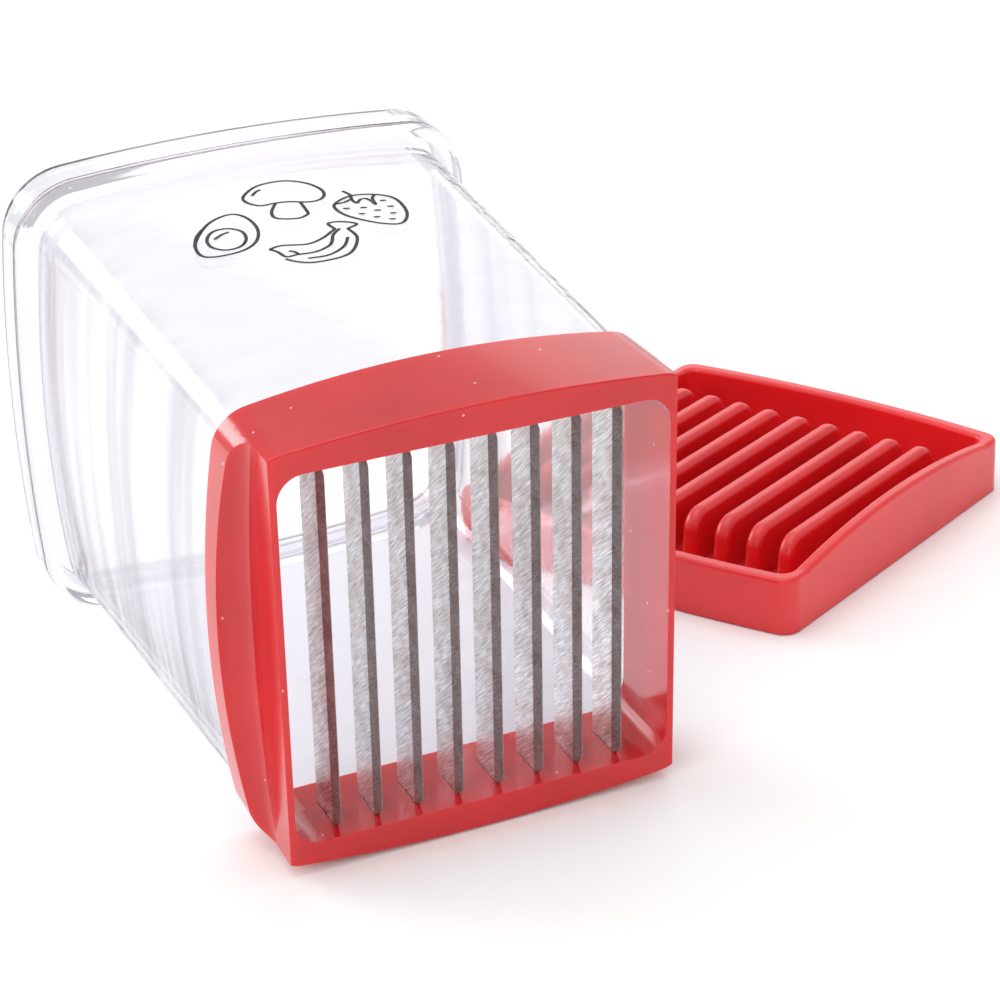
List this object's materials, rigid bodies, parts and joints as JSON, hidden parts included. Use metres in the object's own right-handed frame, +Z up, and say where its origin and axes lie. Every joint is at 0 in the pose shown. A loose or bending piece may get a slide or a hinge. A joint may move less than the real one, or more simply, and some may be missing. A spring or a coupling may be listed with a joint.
{
  "type": "egg slicer",
  "caption": "Push-down cup slicer lying on its side: clear square cup with a red blade collar, and a loose ribbed red base tray beside it.",
  "frame": {"origin": "centre of the footprint of cup and base together, on the surface they lie on", "axes": "+Z up; the cup lies on its side with its mouth facing -Y and its far end towards +Y; the base tray lies on the +X side"},
  "size_m": [0.1902, 0.1428, 0.0901],
  "materials": {
    "clear_plastic": "clear, polished",
    "red_gloss": "gloss",
    "blade_steel": "ground",
    "red_satin": "satin"
  },
  "bodies": {
    "cup": {"clear_cup": "clear_plastic", "collar": "red_gloss", "blade_1": "blade_steel", "blade_2": "blade_steel", "blade_3": "blade_steel", "blade_4": "blade_steel", "blade_5": "blade_steel", "blade_6": "blade_steel", "blade_7": "blade_steel", "blade_8": "blade_steel"},
    "base": {"base_tray": "red_satin"}
  },
  "joints": [
    {"name": "base_lift", "type": "slide", "parent": "cup", "child": "base", "axis": [0.08, 0, 0.9968], "range_m": [0, 0.06]}
  ]
}
